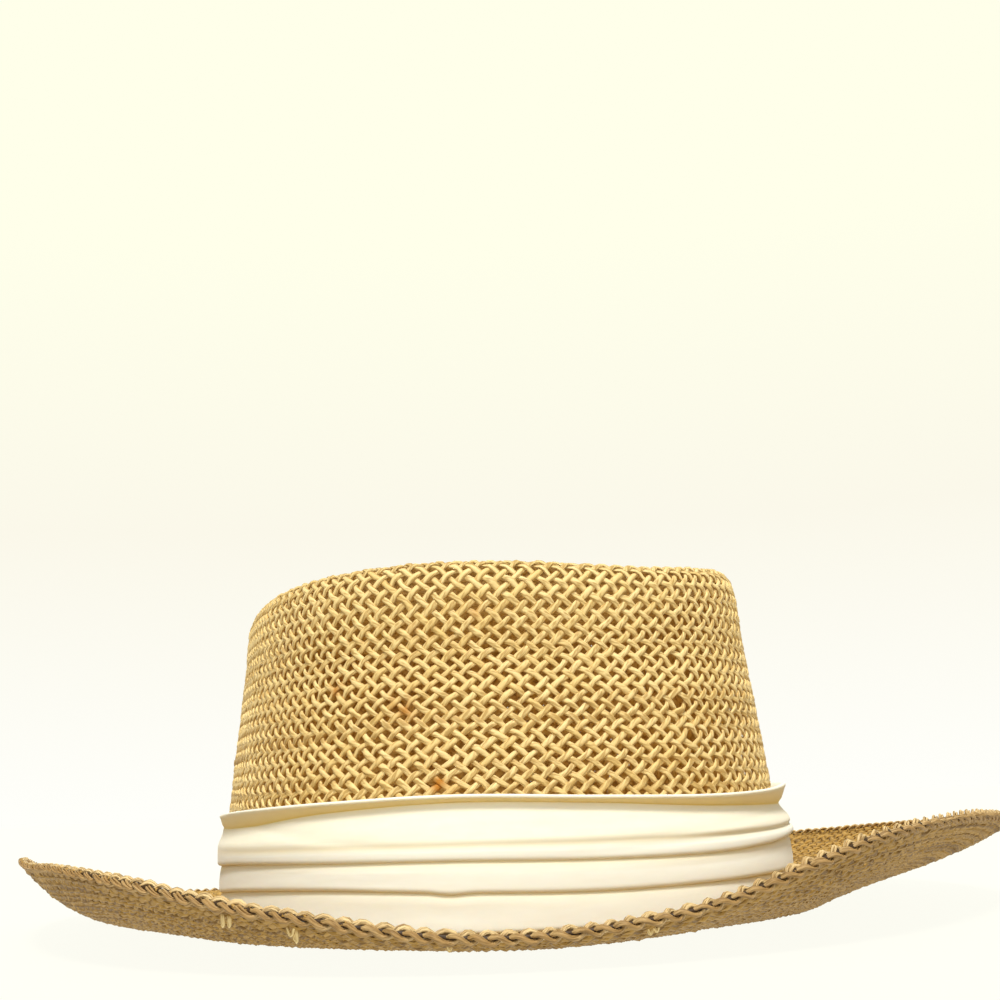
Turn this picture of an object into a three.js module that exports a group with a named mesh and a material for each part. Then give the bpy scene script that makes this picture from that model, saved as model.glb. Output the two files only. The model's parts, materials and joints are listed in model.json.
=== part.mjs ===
// Woven straw hat with a flat topped crown, a pleated cloth band and a curled brim with a plaited edge.
// Millimetres, +Z up. The front faces -Y. The hat stands on the ring where crown and brim meet, at z = 0.
// Every surface is a loft of closed rings round the head. A ring is one point for each azimuth, which is
// measured from +X towards +Y, at an offset outwards from the oval of the head and at a height.

import * as THREE from 'three';

// The oval of the crown wall just above the brim, a superellipse, and the thickness of the woven straw.
const headHalfWidth = 84.4;
const headHalfLength = 101.9;
const headExponent = 2.4;
const strawWall = 2.4;
const gap = 0.3;
const segments = 64;

// Crown: the outer face from the wall's foot to the crest of the rim and on towards the top's middle.
// Inset is measured inwards from the head's oval.
const crownProfile = [
  { height: 10, inset: 0.0 },
  { height: 22, inset: 0.1 },
  { height: 34, inset: 0.6 },
  { height: 44, inset: 1.6 },
  { height: 56, inset: 3.0 },
  { height: 68, inset: 4.5 },
  { height: 79, inset: 5.8 },
  { height: 87, inset: 6.5 },
  { height: 92.8, inset: 7.4 },
  { height: 96.4, inset: 9.2 },
  { height: 98.0, inset: 12.0 },
  { height: 97.9, inset: 15.4 },
  { height: 96.4, inset: 19.6 },
  { height: 94.7, inset: 24.8 },
  { height: 93.8, inset: 31.0 },
];
const crestHeight = 98.0;
const crestRise = { sides: 1.1, right: 0.6 };
// The top inside the shallow trough: each ring is the trough's last ring made smaller.
const topRings = [
  { share: 0.72, height: 94.1 },
  { share: 0.4, height: 94.8 },
];
const topMiddleHeight = 95.0;

// The foot of the wall turns outwards into the brim on a small arc, then the brim lies flat for a short way.
const filletRadius = 4;
const filletSteps = 3;
const flatRingWidth = 2.5;

// Brim: how far its plaited edge reaches past the head's oval, how high that edge stands, which share of that
// climb runs straight from the foot, and how late the rest of it curls up on its way out.
const brimSections = [
  { azimuth: 0, reach: 75.6, edgeHeight: 22.0, lean: 0.22, curl: 3.0 },
  { azimuth: 20, reach: 74.6, edgeHeight: 19.0, lean: 0.08, curl: 2.8 },
  { azimuth: 45, reach: 72.6, edgeHeight: 15.0, lean: 0.05, curl: 2.6 },
  { azimuth: 70, reach: 70.8, edgeHeight: 7.4, lean: 0.06, curl: 2.4 },
  { azimuth: 95, reach: 69.4, edgeHeight: 4.4, lean: 0.08, curl: 2.4 },
  { azimuth: 120, reach: 68.4, edgeHeight: 4.0, lean: 0.10, curl: 2.4 },
  { azimuth: 135, reach: 67.0, edgeHeight: 9.0, lean: 0.10, curl: 2.4 },
  { azimuth: 150, reach: 65.2, edgeHeight: 16.0, lean: 0.10, curl: 2.6 },
  { azimuth: 165, reach: 63.4, edgeHeight: 21.4, lean: 0.10, curl: 3.0 },
  { azimuth: 180, reach: 62.2, edgeHeight: 24.8, lean: 0.12, curl: 3.6 },
  { azimuth: 195, reach: 61.4, edgeHeight: 24.2, lean: 0.24, curl: 3.8 },
  { azimuth: 210, reach: 61.8, edgeHeight: 24.2, lean: 0.30, curl: 3.2 },
  { azimuth: 225, reach: 62.2, edgeHeight: 20.7, lean: 0.24, curl: 2.8 },
  { azimuth: 240, reach: 62.2, edgeHeight: 13.2, lean: 0.22, curl: 2.4 },
  { azimuth: 255, reach: 63.0, edgeHeight: 7.6, lean: 0.22, curl: 2.2 },
  { azimuth: 270, reach: 64.0, edgeHeight: 10.8, lean: 0.20, curl: 2.4 },
  { azimuth: 285, reach: 63.6, edgeHeight: 23.7, lean: 0.34, curl: 2.6 },
  { azimuth: 300, reach: 61.4, edgeHeight: 27.6, lean: 0.60, curl: 2.0 },
  { azimuth: 315, reach: 64.0, edgeHeight: 26.8, lean: 0.72, curl: 1.9 },
  { azimuth: 335, reach: 73.0, edgeHeight: 22.8, lean: 0.60, curl: 3.2 },
];
const brimShares = [0.2, 0.38, 0.54, 0.68, 0.8, 0.9];
const plaitRadius = 1.8;
const plaitSides = 6;

// Band: the heights of its lip, of the hollow under the lip and of each fold's lower edge, round the head.
const foldHeights = [
  { azimuth: 20, lip: 35.4, hollow: 30.0, crease: 24.6, first: 20.8, second: 11.8 },
  { azimuth: 60, lip: 35.2, hollow: 31.0, crease: 24.6, first: 19.8, second: 11.6 },
  { azimuth: 100, lip: 35.2, hollow: 31.6, crease: 24.4, first: 19.4, second: 11.4 },
  { azimuth: 140, lip: 34.2, hollow: 30.4, crease: 23.6, first: 18.4, second: 10.4 },
  { azimuth: 168, lip: 33.4, hollow: 29.0, crease: 22.8, first: 17.8, second: 9.6 },
  { azimuth: 207, lip: 34.7, hollow: 29.8, crease: 23.6, first: 19.8, second: 12.6 },
  { azimuth: 230, lip: 35.8, hollow: 32.8, crease: 24.4, first: 20.3, second: 13.6 },
  { azimuth: 250, lip: 36.4, hollow: 34.2, crease: 24.4, first: 20.2, second: 12.6 },
  { azimuth: 270, lip: 34.9, hollow: 32.8, crease: 23.8, first: 19.1, second: 11.4 },
  { azimuth: 288, lip: 33.9, hollow: 30.8, crease: 23.7, first: 18.9, second: 11.6 },
  { azimuth: 302, lip: 34.4, hollow: 30.1, crease: 24.0, first: 20.0, second: 12.0 },
  { azimuth: 320, lip: 36.2, hollow: 30.0, crease: 25.0, first: 22.0, second: 12.2 },
  { azimuth: 350, lip: 36.2, hollow: 30.0, crease: 25.2, first: 21.8, second: 12.0 },
];
// How far the band's lip flares and its folds swell off the wall, and how deep the crease in its top fold is
// cut, as a share of the step between two folds: the crease runs only along the right side.
const bandFullness = [
  { azimuth: 20, flare: 3.8, swell: 4.4, creaseShare: 0.5 },
  { azimuth: 60, flare: 3.6, swell: 4.2, creaseShare: 0.0 },
  { azimuth: 100, flare: 3.0, swell: 3.6, creaseShare: 0.0 },
  { azimuth: 168, flare: 2.6, swell: 2.9, creaseShare: 0.0 },
  { azimuth: 230, flare: 3.4, swell: 3.6, creaseShare: 0.0 },
  { azimuth: 270, flare: 3.4, swell: 3.8, creaseShare: 0.0 },
  { azimuth: 290, flare: 3.8, swell: 4.1, creaseShare: 0.2 },
  { azimuth: 320, flare: 4.0, swell: 4.9, creaseShare: 1.0 },
  { azimuth: 350, flare: 4.0, swell: 4.7, creaseShare: 1.0 },
];
const lipEdge = 0.9;
const hollowOffset = 1.7;
const foldDepth = 1.3;
const foldDrop = 0.9;
const hemTuck = 0.6;
const hemHeight = 4.2;
const bandWallTop = 30;
const bandFootInner = 6.7;
const bandFootOuter = { offset: 2.8, height: 3.3 };

const strawColour = 0xd9b173;
const plaitColour = 0xc79a58;
const strawRoughness = 0.75;
const bandColour = 0xf6efdb;
const bandRoughness = 0.9;

const degrees = Math.PI / 180;

function headRadius(azimuth) {
  const across = Math.abs(Math.cos(azimuth) / headHalfWidth) ** headExponent;
  const along = Math.abs(Math.sin(azimuth) / headHalfLength) ** headExponent;
  return (across + along) ** (-1 / headExponent);
}

// One column of a table of sections as a smooth closed function of the azimuth: each stretch between two rows
// is a cubic, and its slope at a row is that of the line between the rows on both sides.
function around(sections, column) {
  const count = sections.length;
  const rowAt = (index) => {
    const turns = Math.floor(index / count);
    const row = sections[index - turns * count];
    return { place: row.azimuth + 360 * turns, value: row[column] };
  };
  return (azimuth) => {
    let place = (azimuth / degrees) % 360;
    if (place < sections[0].azimuth) {
      place += 360;
    }
    let index = count - 1;
    while (sections[index].azimuth > place) {
      index -= 1;
    }
    const [before, start, end, after] = [-1, 0, 1, 2].map((step) => rowAt(index + step));
    const span = end.place - start.place;
    const share = (place - start.place) / span;
    const startSlope = ((end.value - before.value) / (end.place - before.place)) * span;
    const endSlope = ((after.value - start.value) / (after.place - start.place)) * span;
    const rise = end.value - start.value;
    const bend = 3 * rise - 2 * startSlope - endSlope;
    const twist = startSlope + endSlope - 2 * rise;
    return start.value + share * (startSlope + share * (bend + share * twist));
  };
}

// A ring is a function from azimuth to a distance from the head's axis and a height.
function offsetRing(offset, height) {
  return (azimuth) => ({ radius: headRadius(azimuth) + offset(azimuth), height: height(azimuth) });
}

function shrunkRing(ring, share, height) {
  return (azimuth) => ({ radius: ring(azimuth).radius * share, height });
}

// Joins rings into one closed body. A body with poles ends in a point on the axis at both ends of its list of
// rings, and one without joins its last ring to its first. Every list runs so that its faces look outwards.
function loft(rings, poles) {
  const points = [];
  const faces = [];
  for (const ring of rings) {
    for (let step = 0; step < segments; step += 1) {
      const azimuth = (step / segments) * 2 * Math.PI;
      const { radius, height } = ring(azimuth);
      points.push(radius * Math.cos(azimuth), radius * Math.sin(azimuth), height);
    }
  }
  const bandCount = poles ? rings.length - 1 : rings.length;
  for (let row = 0; row < bandCount; row += 1) {
    const upper = row * segments;
    const lower = ((row + 1) % rings.length) * segments;
    for (let step = 0; step < segments; step += 1) {
      const next = (step + 1) % segments;
      faces.push(upper + step, lower + step, lower + next);
      faces.push(upper + step, lower + next, upper + next);
    }
  }
  if (poles) {
    const first = points.length / 3;
    points.push(0, 0, poles.first, 0, 0, poles.last);
    const lastRow = (rings.length - 1) * segments;
    for (let step = 0; step < segments; step += 1) {
      const next = (step + 1) % segments;
      faces.push(first, step, next);
      faces.push(first + 1, lastRow + next, lastRow + step);
    }
  }
  const geometry = new THREE.BufferGeometry();
  geometry.setAttribute('position', new THREE.Float32BufferAttribute(points, 3));
  geometry.setIndex(faces);
  geometry.computeVertexNormals();
  return geometry;
}

function piece(name, geometry, colour, roughness) {
  const material = new THREE.MeshStandardMaterial({ color: colour, roughness, metalness: 0 });
  const mesh = new THREE.Mesh(geometry, material);
  mesh.name = name;
  return mesh;
}

// The crown's rim stands a little higher at both sides of the head than at the front and the back.
function crownLift(azimuth, height) {
  const rise = crestRise.sides * Math.cos(2 * azimuth) + crestRise.right * Math.cos(azimuth);
  return rise * (height / crestHeight) ** 2;
}

// The crown's outer face moved inwards by a depth along its own normal: 0 is the outside of the straw and
// strawWall the inside face.
function crownRings(depth) {
  return crownProfile.map((row, index) => {
    const before = crownProfile[Math.max(index - 1, 0)];
    const after = crownProfile[Math.min(index + 1, crownProfile.length - 1)];
    const rise = after.height - before.height;
    const lean = after.inset - before.inset;
    const length = Math.hypot(rise, lean);
    const inset = row.inset + (depth * rise) / length;
    const height = row.height - (depth * lean) / length;
    return offsetRing(() => -inset, (azimuth) => height + crownLift(azimuth, row.height));
  });
}

function topInnerRings(troughRing, depth) {
  return topRings.map((row) => shrunkRing(troughRing, row.share, row.height - depth));
}

// The arc at the wall's foot, from the wall to the flat ring of the brim. Both faces share its centre.
function filletRings(depth) {
  const radius = filletRadius + depth;
  const centreHeight = filletRadius + strawWall;
  const rings = [];
  for (let step = 0; step <= filletSteps; step += 1) {
    const turn = (step / filletSteps) * (Math.PI / 2);
    const offset = filletRadius - radius * Math.cos(turn);
    const height = centreHeight - radius * Math.sin(turn);
    rings.push(offsetRing(() => offset, () => height));
  }
  return rings;
}

const brimStart = filletRadius + flatRingWidth;
const reachAt = around(brimSections, 'reach');
const edgeHeightAt = around(brimSections, 'edgeHeight');
const leanAt = around(brimSections, 'lean');
const curlAt = around(brimSections, 'curl');

// The middle of the brim's thickness at one azimuth: part of its climb is straight and the rest is a power of
// the share of the way out. At a share of 1 it would meet the centre of the plait.
function brimMiddle(azimuth, share) {
  const run = reachAt(azimuth) - plaitRadius - brimStart;
  const climb = edgeHeightAt(azimuth) - plaitRadius - strawWall / 2;
  const lean = leanAt(azimuth);
  const curl = curlAt(azimuth);
  const risen = lean * share + (1 - lean) * share ** curl;
  const steepness = lean + (1 - lean) * curl * share ** (curl - 1);
  return {
    offset: brimStart + run * share,
    height: strawWall / 2 + climb * risen,
    slope: (climb * steepness) / run,
    run,
  };
}

// The share of the way out where the straw ends, a small gap before the plait.
function brimEnd(azimuth) {
  const { slope, run } = brimMiddle(azimuth, 1);
  return 1 - (plaitRadius + gap) / (run * Math.hypot(1, slope));
}

// One ring of the brim's upper face (side 1) or lower face (side -1).
function brimRing(share, side) {
  const faceAt = (azimuth) => {
    const middle = brimMiddle(azimuth, share * brimEnd(azimuth));
    const step = (side * strawWall) / 2 / Math.hypot(1, middle.slope);
    return { offset: middle.offset - step * middle.slope, height: middle.height + step };
  };
  return offsetRing((azimuth) => faceAt(azimuth).offset, (azimuth) => faceAt(azimuth).height);
}

function wovenHood() {
  const outerCrown = crownRings(0);
  const innerCrown = crownRings(strawWall);
  const outerTrough = outerCrown[outerCrown.length - 1];
  const innerTrough = innerCrown[innerCrown.length - 1];
  const shares = [0, ...brimShares, 1];
  const rings = [
    ...topInnerRings(outerTrough, 0).reverse(),
    ...outerCrown.reverse(),
    ...filletRings(0),
    ...shares.map((share) => brimRing(share, 1)),
    ...shares.map((share) => brimRing(share, -1)).reverse(),
    ...filletRings(strawWall).reverse(),
    ...innerCrown,
    ...topInnerRings(innerTrough, strawWall),
  ];
  return loft(rings, { first: topMiddleHeight, last: topMiddleHeight - strawWall });
}

function brimEdgePlait() {
  const rings = [];
  for (let side = 0; side < plaitSides; side += 1) {
    const turn = -(side / plaitSides) * 2 * Math.PI;
    const offset = (azimuth) => brimMiddle(azimuth, 1).offset + plaitRadius * Math.cos(turn);
    const height = (azimuth) => brimMiddle(azimuth, 1).height + plaitRadius * Math.sin(turn);
    rings.push(offsetRing(offset, height));
  }
  return loft(rings);
}

// How far the crown's wall stands inside the head's oval at a height, on the straight lines between its rows.
function wallInset(height) {
  const upper = Math.max(crownProfile.findIndex((row) => row.height > height), 1);
  const [low, high] = [crownProfile[upper - 1], crownProfile[upper]];
  const share = Math.max((height - low.height) / (high.height - low.height), 0);
  return low.inset + share * (high.inset - low.inset);
}

// The band's outside runs from its flared lip down through the hollow and over each fold, whose lower edge
// overhangs the one below. Its inside lies against the wall.
function pleatedBand() {
  const [lip, hollow, crease, first, second] = ['lip', 'hollow', 'crease', 'first', 'second'].map((column) =>
    around(foldHeights, column));
  const [flare, swell, creaseShare] = ['flare', 'swell', 'creaseShare'].map((column) =>
    around(bandFullness, column));
  const rings = [];
  const addRing = (offset, height) => {
    rings.push(offsetRing((azimuth) => offset(azimuth) - wallInset(height(azimuth)), height));
  };
  const addFold = (line, depth) => {
    addRing(swell, (azimuth) => line(azimuth) + foldDrop / 2);
    addRing((azimuth) => swell(azimuth) - depth(azimuth), (azimuth) => line(azimuth) - foldDrop / 2);
  };
  addRing(() => gap, lip);
  addRing((azimuth) => flare(azimuth) - lipEdge, lip);
  addRing(flare, (azimuth) => lip(azimuth) - lipEdge / 2);
  addRing(() => hollowOffset, hollow);
  addRing(
    (azimuth) => (hollowOffset + swell(azimuth)) / 2,
    (azimuth) => (hollow(azimuth) + crease(azimuth)) / 2,
  );
  addFold(crease, (azimuth) => foldDepth * creaseShare(azimuth));
  addFold(first, () => foldDepth);
  addFold(second, () => foldDepth);
  addRing((azimuth) => swell(azimuth) - hemTuck, () => hemHeight);
  addRing(() => bandFootOuter.offset, () => bandFootOuter.height);
  addRing(() => gap, () => bandFootInner);
  for (const row of crownProfile.filter(({ height }) => height > bandFootInner && height < bandWallTop)) {
    addRing(() => gap, () => row.height);
  }
  return loft(rings);
}

const hat = new THREE.Group();
hat.add(piece('woven_hood', wovenHood(), strawColour, strawRoughness));
hat.add(piece('brim_edge_plait', brimEdgePlait(), plaitColour, strawRoughness));
hat.add(piece('pleated_band', pleatedBand(), bandColour, bandRoughness));

// The brim reaches further to one side, so the hat is moved until its origin is under the outline's middle.
const middle = new THREE.Box3().setFromObject(hat).getCenter(new THREE.Vector3());
hat.position.set(-middle.x, -middle.y, 0);

export default hat;
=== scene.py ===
# %% [markdown]
# A straw hat, built as it is made: strands woven over and under each other, a plait round the brim's
# edge, and a folded strip of cotton round the crown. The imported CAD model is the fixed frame. It gives
# the shape of the straw's wall, and every piece made here is laid on that shape.

import json
import math

import bmesh
import bpy
import numpy as np
from mathutils import Matrix, Vector

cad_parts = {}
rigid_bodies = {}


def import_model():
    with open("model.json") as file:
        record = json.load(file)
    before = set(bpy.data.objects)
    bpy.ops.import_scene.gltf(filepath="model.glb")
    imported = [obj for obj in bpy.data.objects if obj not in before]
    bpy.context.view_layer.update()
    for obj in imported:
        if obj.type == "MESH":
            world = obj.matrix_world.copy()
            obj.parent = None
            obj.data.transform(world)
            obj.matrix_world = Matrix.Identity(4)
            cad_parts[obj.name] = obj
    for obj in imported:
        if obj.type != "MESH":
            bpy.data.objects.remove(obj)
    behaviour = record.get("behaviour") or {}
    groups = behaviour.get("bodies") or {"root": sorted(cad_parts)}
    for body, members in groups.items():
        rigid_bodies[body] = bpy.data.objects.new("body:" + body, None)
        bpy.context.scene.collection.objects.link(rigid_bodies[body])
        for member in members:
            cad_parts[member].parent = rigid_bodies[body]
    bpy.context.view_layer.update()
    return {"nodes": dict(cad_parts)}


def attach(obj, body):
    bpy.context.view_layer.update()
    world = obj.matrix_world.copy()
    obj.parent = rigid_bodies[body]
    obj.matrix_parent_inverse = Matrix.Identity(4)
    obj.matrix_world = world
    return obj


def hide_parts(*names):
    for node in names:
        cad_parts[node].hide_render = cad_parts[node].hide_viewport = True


for leftover in list(bpy.data.objects):
    bpy.data.objects.remove(leftover)
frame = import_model()
mm = 0.001

# %% [markdown]
# Two helpers are used all through. One puts an object into the scene. The other makes a table whose columns
# are named once and whose rows hold only numbers.

# %% Helpers for objects and tables


def add_object(name, data):
    made = bpy.data.objects.new(name, data)
    bpy.context.scene.collection.objects.link(made)
    return made


def table(columns, *rows):
    """Rows of named values. columns holds the names, with a space between each two."""
    return [dict(zip(columns.split(), row)) for row in rows]



# %% [markdown]
# The straw's wall in the frame is a stack of rings. Merging its loose triangles joins the rings again, and
# a walk from the middle of the crown's top outwards, over the rim, down the wall and out along the brim,
# gives one line of points for each of its azimuths. The walk then turns round the brim's end and comes
# back along the inside, so points that match from both ends of the list lie on both faces of the wall,
# and their average is the middle of the straw.

# %% Read the middle of the straw from the frame
wall_solid = bmesh.new()
wall_solid.from_mesh(frame["nodes"]["woven_hood"].data)
bmesh.ops.remove_doubles(wall_solid, verts=wall_solid.verts, dist=0.001 * mm)
most_edges = max(len(vertex.link_edges) for vertex in wall_solid.verts)
poles = [vertex for vertex in wall_solid.verts if len(vertex.link_edges) == most_edges]
top_pole = max(poles, key=lambda vertex: vertex.co.z)
bottom_pole = min(poles, key=lambda vertex: vertex.co.z)
crown_axis = Vector((top_pole.co.x, top_pole.co.y, 0))
segments = most_edges


def azimuth_step(vertex):
    turn = math.atan2(vertex.co.y - crown_axis.y, vertex.co.x - crown_axis.x) / (2 * math.pi)
    return round(turn * segments) % segments


def walk_outwards(step):
    line = [top_pole]
    seen = set(poles)
    while True:
        neighbours = [edge.other_vert(line[-1]) for edge in line[-1].link_edges]
        ahead = [vertex for vertex in neighbours if vertex not in seen and azimuth_step(vertex) == step]
        if not ahead:
            break
        line.append(ahead[0])
        seen.add(ahead[0])
    return [tuple(vertex.co - crown_axis) for vertex in line + [bottom_pole]]


wall_lines = np.array([walk_outwards(step) for step in range(segments)])
wall_solid.free()
ring_count = wall_lines.shape[1] // 2
outer_lines = wall_lines[:, :ring_count]
middle_lines = (outer_lines + wall_lines[:, ::-1][:, :ring_count]) / 2
print("meridians:", segments, "rings on each:", ring_count)

# %% [markdown]
# The plait's own solid is a tube of six sides round the brim's edge. The average of the points at one
# azimuth is the tube's middle, and the weave's strands run on into it.

# %% Read the middle of the plait from the frame
plait_solid = bmesh.new()
plait_solid.from_mesh(frame["nodes"]["brim_edge_plait"].data)
bmesh.ops.remove_doubles(plait_solid, verts=plait_solid.verts, dist=0.001 * mm)
plait_groups = [[] for step in range(segments)]
for vertex in plait_solid.verts:
    plait_groups[azimuth_step(vertex)].append(tuple(vertex.co - crown_axis))
plait_solid.free()
plait_line = np.array([np.mean(group, axis=0) for group in plait_groups])
middle_lines = np.concatenate([middle_lines, plait_line[:, None]], axis=1)
plait_heights = plait_line[:, 2] / mm
print("plait height, mm:", plait_heights.min().round(1), "to", plait_heights.max().round(1))

# %% [markdown]
# A weave needs a smooth surface to lie on. Between the frame's points a cubic is drawn whose slope at each
# point comes from its two neighbours, first along every line and then from line to line round the head.

# %% Smooth lines


def cubic(start, end, start_slope, end_slope, share):
    rise = end - start
    bend = 3 * rise - 2 * start_slope - end_slope
    twist = start_slope + end_slope - 2 * rise
    return start + share * (start_slope + share * (bend + share * twist))


def smooth_line(points, steps):
    """A smooth line through points, which run along the last axis but one, with steps between each two."""
    chords = np.maximum(np.linalg.norm(np.diff(points, axis=-2), axis=-1, keepdims=True), 1e-9)
    directions = np.diff(points, axis=-2) / chords
    behind, ahead = chords[..., :-1, :], chords[..., 1:, :]
    inner = (directions[..., :-1, :] * ahead + directions[..., 1:, :] * behind) / (behind + ahead)
    slopes = np.concatenate([directions[..., :1, :], inner, directions[..., -1:, :]], axis=-2)
    share = (np.arange(steps) / steps)[:, None]
    spans = [values[..., None, :] for values in (points[..., :-1, :], points[..., 1:, :])]
    tilts = [(values * chords)[..., None, :] for values in (slopes[..., :-1, :], slopes[..., 1:, :])]
    drawn = cubic(*spans, *tilts, share)
    drawn = drawn.reshape(*points.shape[:-2], -1, points.shape[-1])
    return np.concatenate([drawn, points[..., -1:, :]], axis=-2)


def step_lengths(lines):
    return np.linalg.norm(np.diff(lines, axis=1), axis=-1)


def walked_along(lines):
    """How far along its line each point lies."""
    return np.concatenate([np.zeros((len(lines), 1)), np.cumsum(step_lengths(lines), axis=1)], axis=1)


def mean_length(lines):
    return step_lengths(lines).sum(axis=1).mean()


def even_steps(lines, count):
    """The same lines, cut into equal lengths."""
    wanted = np.linspace(0, 1, count)
    rows = zip(lines, walked_along(lines))
    cut = [[np.interp(wanted, far / far[-1], points[:, axis]) for axis in range(3)] for points, far in rows]
    return np.array(cut).transpose(0, 2, 1)


def round_the_head(lines, places):
    """Values between the frame's azimuths. A place is counted in the frame's azimuth steps."""
    start = np.floor(places).astype(int)
    share = (places - start).reshape(-1, *[1] * (lines.ndim - 1))
    before, here, there, after = [lines[(start + step) % len(lines)] for step in (-1, 0, 1, 2)]
    return cubic(here, there, (there - before) / 2, (after - here) / 2, share)


# %% [markdown]
# Strands stand at equal distances round the head, which aren't equal angles on an oval. The columns of the
# smooth surface are therefore spread by the length walked round the wall's foot.

# %% Columns at equal lengths round the wall's foot
column_count = 512
foot_ring = 18
fine_places = np.linspace(0, segments, 4096, endpoint=False)
foot_loop = round_the_head(outer_lines[:, foot_ring], np.append(fine_places, segments))
foot_walk = np.append(0, np.cumsum(np.linalg.norm(np.diff(foot_loop, axis=0), axis=1)))
head_girth = foot_walk[-1]
column_shares = np.arange(column_count) / column_count
column_places = np.interp(column_shares, foot_walk / head_girth, np.append(fine_places, segments))
column_degrees = column_places / segments * 360
print("girth at the wall's foot, mm:", round(head_girth / mm, 1))


def unit(vectors):
    return vectors / np.maximum(np.linalg.norm(vectors, axis=-1, keepdims=True), 1e-12)


def with_normals(points):
    outwards = np.gradient(points, axis=1)
    sideways = np.roll(points, -1, axis=0) - np.roll(points, 1, axis=0)
    return points, unit(np.cross(outwards, sideways))


def zone_surface(first_ring, last_ring, rows):
    """The middle of the straw between two rings, as a table of points and one of normals."""
    lines = round_the_head(middle_lines[:, first_ring : last_ring + 1], column_places)
    steps_between_rings = 10
    return with_normals(even_steps(smooth_line(lines, steps_between_rings), rows))


def look_up(table, turns, across):
    """Reads a zone's table at a share of the way round and a share of the way across."""
    column = (turns % 1.0) * table.shape[0]
    row = np.clip(across, 0, 1) * (table.shape[1] - 1)
    left = np.floor(column).astype(int)
    upper = np.minimum(np.floor(row).astype(int), table.shape[1] - 2)
    side = (column - left)[..., None]
    down = (row - upper)[..., None]
    left = left % table.shape[0]
    right = (left + 1) % table.shape[0]
    above = table[left, upper] * (1 - side) + table[right, upper] * side
    below = table[left, upper + 1] * (1 - side) + table[right, upper + 1] * side
    return above * (1 - down) + below * down


def degrees_apart(azimuths, azimuth):
    return (azimuths - azimuth + 180) % 360 - 180


# %% [markdown]
# Hundreds of strands as hundreds of curve objects would be slow to handle. Each family of strands is one
# mesh instead, made from arrays: a closed tube of a few sides for each strand. Its UV map runs round and
# along the strand. Every point also carries a tone and a stain, which the straw's material reads. A family
# can also carry painted shade: its tone is then paler on the tube's outer side and deeper on its inner side.

# %% A mesh of many strands
uv_unit = 10 * mm


def strand_family(centres, sides, ups, widths, heights, tone, stain=0.0):
    """What a family of strands consists of, with a row for each strand and a column for each ring."""
    return {
        "centres": centres,
        "sides": sides,
        "ups": ups,
        "widths": widths,
        "heights": heights,
        "tone": tone,
        "stain": stain,
    }


def strands_to_mesh(name, family, corners, closed=False):
    """Makes one piece of joined tubes from a family of strands."""
    centres = family["centres"]
    strands, rings = centres.shape[:2]
    turns = np.arange(corners) / corners * 2 * math.pi
    sideways = np.cos(turns)[:, None] * (family["widths"] / 2)[..., None, None]
    upwards = np.sin(turns)[:, None] * (family["heights"] / 2)[..., None, None]
    points = centres[:, :, None] + family["sides"][:, :, None] * sideways
    points = points + family["ups"][:, :, None] * upwards
    index = np.arange(strands * rings * corners).reshape(strands, rings, corners)
    walked = walked_along(centres)
    if closed:
        here, there = index, np.roll(index, -1, axis=1)
        walked = np.concatenate([walked, 2 * walked[:, -1:] - walked[:, -2:-1]], axis=1)
    else:
        here, there = index[:, :-1], index[:, 1:]
    quads = np.stack([here, np.roll(here, -1, 2), np.roll(there, -1, 2), there], axis=-1)
    near = np.broadcast_to(walked[:, :-1, None], here.shape)
    far = np.broadcast_to(walked[:, 1:, None], here.shape)
    around = np.broadcast_to(np.arange(corners) / corners, here.shape)
    along_loops = np.stack([near, near, far, far], axis=-1)
    around_loops = np.stack([around, around + 1 / corners, around + 1 / corners, around], axis=-1)
    uvs = np.stack([around_loops, along_loops / uv_unit], axis=-1).reshape(-1, 2)
    faces = quads.reshape(-1, 4).tolist()
    if not closed:
        caps = np.concatenate([index[:, 0, ::-1], index[:, -1]])
        faces += caps.tolist()
        uvs = np.concatenate([uvs, np.zeros((caps.size, 2))])
    mesh = bpy.data.meshes.new(name)
    mesh.from_pydata((points + np.array(crown_axis)).reshape(-1, 3).tolist(), [], faces)
    mesh.uv_layers.new(name="strand").data.foreach_set("uv", uvs.astype(np.float32).ravel())
    # painted shade: the tone is raised on the tube's outer side and lowered on its inner side
    tone = np.asarray(family["tone"])[..., None] + family.get("bleaching", 0) * np.sin(turns)
    stain = np.asarray(family["stain"])[..., None]
    for kind, values in (("tone", tone), ("stain", stain)):
        values = np.broadcast_to(values, index.shape)
        attribute = mesh.attributes.new(kind, "FLOAT", "POINT")
        attribute.data.foreach_set("value", values.astype(np.float32).ravel())
    mesh.polygons.foreach_set("use_smooth", np.ones(len(mesh.polygons), bool))
    mesh.update()
    piece = add_object(name, mesh)
    triangles = sum(len(polygon.vertices) - 2 for polygon in mesh.polygons)
    print(f"{name}: {strands} strands, {triangles} triangles")
    return piece


# %% [markdown]
# The hat is woven on the slant. One family of strands leans one way and the other family leans back, and
# both meet once in every row. In even rows the first family lies on top and in odd rows the second, which
# is a plain weave. A strand therefore steps up and down along its way: two rings of its tube lie on each
# crossing, a little before and after its middle, and the tube slopes from one crossing to the next. In a
# fine weave one ring is enough. A strand's width is a share of the distance to the next one, so the same
# rule gives an open and a dense weave. Used straw is uneven in place, height, width and tone, by the shares
# named here.

# %% One family of strands
flatness = 0.52
tuck_level = -0.4
wander_waves = [(6.0, 0.5), (11.0, 0.35), (23.0, 0.3)]
uneven_place = 0.5
uneven_level = 0.28
uneven_strand_width = 0.09
uneven_ring_width = 0.1
least_width, most_width = 0.7, 1.3
middle_tone = 0.5
strand_tone_spread = 0.17
ring_tone_spread = 0.08


def rows_to_shares(rings, rows, growth):
    """How far across a zone each row lies. With growth, rows widen towards the far end."""
    way = (rings + 0.5) / rows
    return ((1 + growth) ** way - 1) / growth if growth else way


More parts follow.
